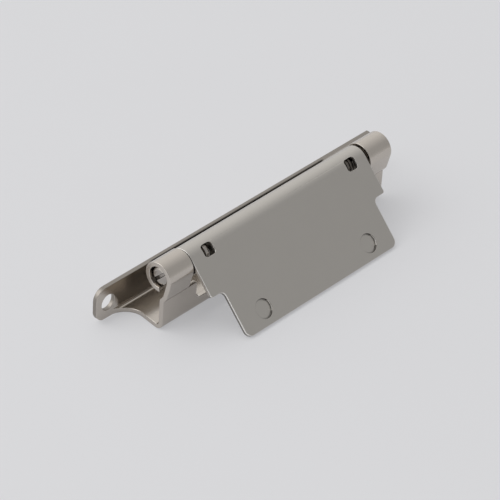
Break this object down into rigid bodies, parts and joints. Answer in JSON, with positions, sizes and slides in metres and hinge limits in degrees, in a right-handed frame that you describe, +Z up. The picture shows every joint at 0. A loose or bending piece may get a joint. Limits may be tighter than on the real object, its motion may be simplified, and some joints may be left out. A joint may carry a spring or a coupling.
{
  "type": "industrial hinge",
  "caption": "Sprung sheet-metal hinge: folded channel bracket with end lugs and rolled knuckles, and a stepped leaf rolled round the hinge pins.",
  "frame": {"origin": "middle of the bracket's underside", "axes": "+X along the hinge axis, towards the spring's end; +Y from the leaf's side to the wall with the lugs; +Z up from the underside"},
  "size_m": [0.0986, 0.0302, 0.0188],
  "materials": {
    "bracket_sheet": "satin nickel plate",
    "leaf_sheet": "satin nickel plate",
    "pin_steel": "turned bright steel",
    "spring_steel": "oiled spring wire"
  },
  "bodies": {
    "bracket": {"base_bracket": "bracket_sheet", "left_pin": "pin_steel", "right_pin": "pin_steel"},
    "leaf": {"swing_leaf": "leaf_sheet", "torsion_spring": "spring_steel"}
  },
  "joints": [
    {"name": "leaf_swing", "type": "hinge", "parent": "bracket", "child": "leaf", "pos_m": [0, -0.00485, 0.0148], "axis": [-1, 0, 0], "range_deg": [-43.36, 136.64], "stiffness_Nm_per_rad": 0.02, "deforming": ["torsion_spring"]}
  ]
}
